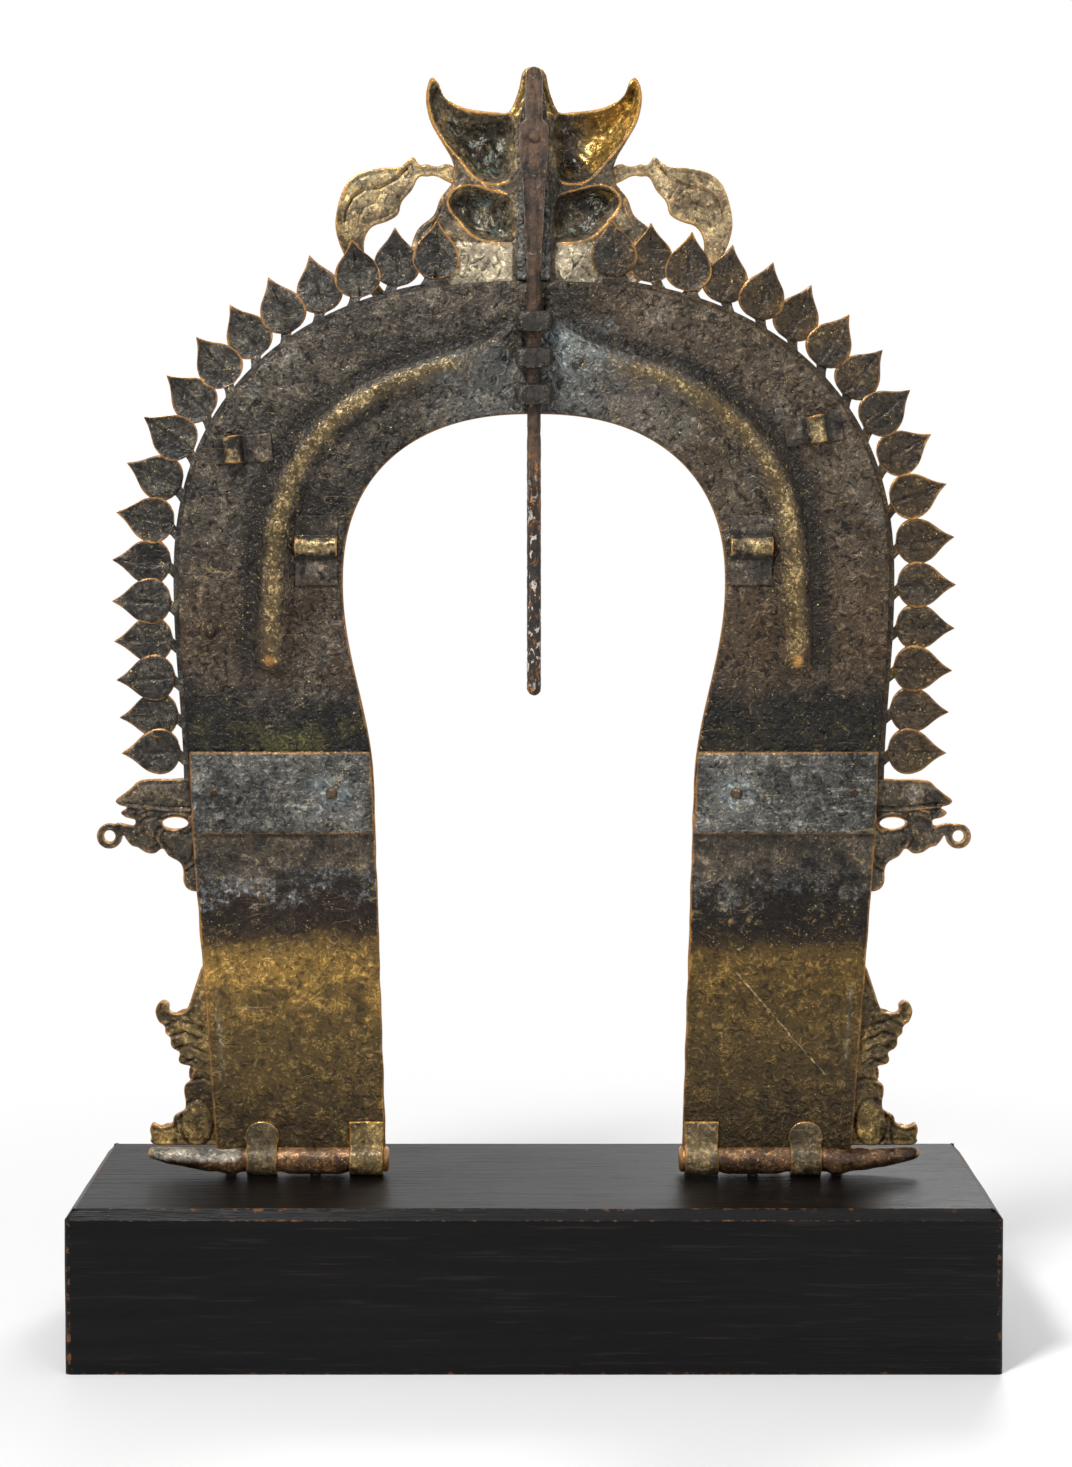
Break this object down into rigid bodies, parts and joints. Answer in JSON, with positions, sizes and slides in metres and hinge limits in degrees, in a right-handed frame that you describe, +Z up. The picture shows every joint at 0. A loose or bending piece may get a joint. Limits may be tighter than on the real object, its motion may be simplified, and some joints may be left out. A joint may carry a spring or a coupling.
{
  "type": "prabhavali",
  "caption": "Brass temple arch with ridged crown, leaf border, makaras and lions at its legs, a lift-off lion-mask crest on an iron rod, standing on a wooden block.",
  "frame": {"origin": "middle of the wooden block's underside", "axes": "+Z up; -Y is the plain back with collars and loops that the picture shows; +Y is the decorated front; +X is to the right in the picture"},
  "size_m": [0.425, 0.13, 0.5986],
  "materials": {
    "wood_black": "black stain, waxed, worn at the edges",
    "brass_dark": "dark brown-grey patina",
    "brass_gold": "rubbed golden patina",
    "brass_worn": "bright worn edges",
    "iron_rust": "forged, rust brown",
    "steel": "plain"
  },
  "bodies": {
    "block": {"block": "wood_black"},
    "arch": {"crown": "brass_dark", "leg_left": "brass_gold", "leg_right": "brass_gold", "splice_plate_left": "brass_dark", "splice_plate_right": "brass_dark", "splice_rivets_left": "brass_worn", "splice_rivets_right": "brass_worn", "crown_stud": "brass_worn", "leaf_border_left": "brass_dark", "leaf_border_right": "brass_dark", "makara_left": "brass_dark", "makara_right": "brass_dark", "lion_left": "brass_gold", "lion_right": "brass_gold", "foot_bar_left": "brass_worn", "foot_bar_right": "brass_worn", "foot_strap_inner_left": "brass_worn", "foot_strap_inner_right": "brass_worn", "foot_strap_middle_left": "brass_worn", "foot_strap_middle_right": "brass_worn", "foot_dowels": "steel", "strap_loop_outer_left": "brass_worn", "strap_loop_outer_right": "brass_worn", "strap_loop_inner_left": "brass_worn", "strap_loop_inner_right": "brass_worn", "collar_top": "iron_rust", "collar_middle": "iron_rust", "collar_bottom": "iron_rust"},
    "crest": {"crest": "brass_gold", "crest_scroll_left": "brass_gold", "crest_scroll_right": "brass_gold", "iron_rod": "iron_rust", "crest_rivet": "iron_rust"}
  },
  "joints": [
    {"name": "arch_lift", "type": "slide", "parent": "block", "child": "arch", "axis": [0, 0, 1], "range_m": [0, 0.06]},
    {"name": "crest_lift", "type": "slide", "parent": "arch", "child": "crest", "axis": [0, 0, 1], "range_m": [0, 0.19]}
  ]
}
